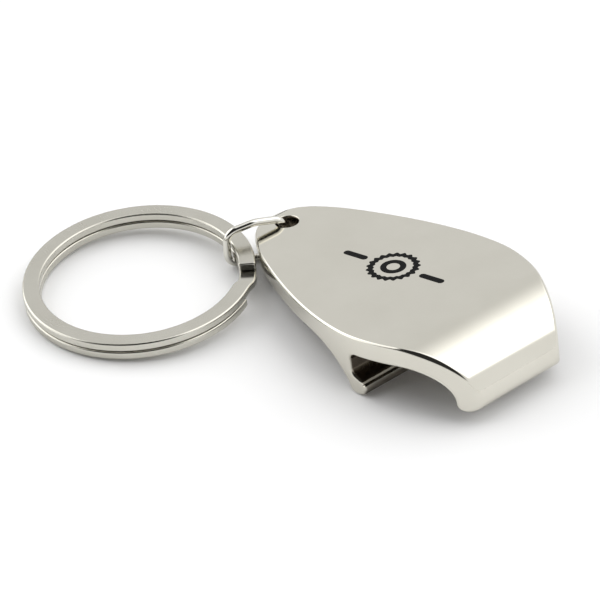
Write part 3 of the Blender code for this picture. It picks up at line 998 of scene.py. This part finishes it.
def area_light(name, azimuth, elevation, size, power):
    """Soft light in that direction from the object, facing it, unseen in reflections."""
    a, e = math.radians(azimuth), math.radians(elevation)
    back = Vector((math.sin(a) * math.cos(e), -math.cos(a) * math.cos(e), math.sin(e)))
    data = bpy.data.lights.new(name, "AREA")
    data.shape = "RECTANGLE"
    data.size, data.size_y = size
    data.energy = power
    light = bpy.data.objects.new(name, data)
    light.location = back * LAMP_DISTANCE
    light.rotation_mode = "QUATERNION"
    light.rotation_quaternion = back.to_track_quat("Z", "Y")
    light.visible_glossy = False
    bpy.context.scene.collection.objects.link(light)


class Studio:
    """Helper that wires the studio's surroundings as brightness by direction."""

    def __init__(self):
        world = bpy.data.worlds.new("studio")
        world.use_nodes = True
        bpy.context.scene.world = world
        self.tree = world.node_tree
        self.background = self.tree.nodes["Background"]
        self.direction = self.tree.nodes.new("ShaderNodeTexCoord").outputs["Generated"]
        split = self.tree.nodes.new("ShaderNodeSeparateXYZ")
        self.tree.links.new(self.direction, split.inputs["Vector"])
        self.x, self.y, self.z = (split.outputs[axis] for axis in "XYZ")

    def math(self, operation, first, second):
        node = self.tree.nodes.new("ShaderNodeMath")
        node.operation = operation
        for socket, value in zip(node.inputs, (first, second)):
            if isinstance(value, (int, float)):
                socket.default_value = value
            else:
                self.tree.links.new(value, socket)
        return node.outputs["Value"]

    def product(self, first, *others):
        for other in others:
            first = self.math("MULTIPLY", first, other)
        return first

    def step(self, value, start, finish, low=0.0, high=1.0):
        """Smooth change from low to high as the value goes from start to finish."""
        node = self.tree.nodes.new("ShaderNodeMapRange")
        node.interpolation_type = "SMOOTHSTEP"
        if start > finish:
            start, finish, low, high = finish, start, high, low
        for socket, number in (("From Min", start), ("From Max", finish),
                               ("To Min", low), ("To Max", high)):
            node.inputs[socket].default_value = number
        self.tree.links.new(value, node.inputs["Value"])
        return node.outputs["Result"]

    def towards(self, way):
        node = self.tree.nodes.new("ShaderNodeVectorMath")
        node.operation = "DOT_PRODUCT"
        self.tree.links.new(self.direction, node.inputs[0])
        node.inputs[1].default_value = Vector(way).normalized()
        return node.outputs["Value"]


def build_world():
    """Plain studio: pale surroundings, a dark room on the camera's side, one wide soft box
    overhead behind the object, and a white wall with a dark gap at the ring's side."""
    studio = Studio()
    dome = studio.step(studio.x, *DOME_EDGE, *DOME_LEVELS)
    room = studio.product(studio.step(studio.towards(ROOM_WAY), *ROOM_EDGE),
                          studio.step(studio.z, *ROOM_LOW_EDGE), 1.0 - ROOM_LEVEL)
    room = studio.math("SUBTRACT", 1.0, room)
    box = studio.product(studio.step(studio.x, *BOX_SOFT_EDGE),
                         studio.step(studio.x, *BOX_SHARP_EDGE),
                         studio.step(studio.y, *BOX_FRONT_EDGE),
                         studio.step(studio.z, *BOX_LOW_EDGE), BOX_LEVEL)
    wall = studio.product(studio.step(studio.towards(WALL_WAY), *WALL_EDGE), WALL_LEVEL)
    gap = studio.product(studio.step(studio.z, *GAP_TOP), studio.step(studio.x, *GAP_SIDE))
    gap = studio.math("SUBTRACT", 1.0, gap)
    level = studio.product(dome, room, gap)
    level = studio.math("ADD", studio.math("ADD", level, box), wall)
    studio.tree.links.new(level, studio.background.inputs["Color"])
    studio.background.inputs["Strength"].default_value = 1.0


def build_camera():
    e, a = CAMERA_ELEVATION, CAMERA_AZIMUTH
    back = Vector((math.sin(a) * math.cos(e), -math.cos(a) * math.cos(e), math.sin(e)))
    right = Vector((math.cos(a), math.sin(a), 0.0))
    up = back.cross(right)
    turned_right = right * math.cos(CAMERA_ROLL) + up * math.sin(CAMERA_ROLL)
    turned_up = up * math.cos(CAMERA_ROLL) - right * math.sin(CAMERA_ROLL)
    data = bpy.data.cameras.new("camera")
    data.lens = CAMERA_LENS
    camera = bpy.data.objects.new("camera", data)
    heel = rest @ Vector((0.0, 0.0, HEEL_RADIUS))
    aim = Vector((heel.x, heel.y, 0.0)) + AIM
    place = Matrix((turned_right, turned_up, back)).transposed().to_4x4()
    camera.matrix_world = Matrix.Translation(aim + back * CAMERA_DISTANCE) @ place
    bpy.context.scene.collection.objects.link(camera)
    bpy.context.scene.camera = camera


build_table()
build_world()
area_light("overhead", *OVERHEAD_LAMP)
area_light("front", *FRONT_LAMP)
build_camera()
bpy.context.scene.view_settings.view_transform = "Standard"
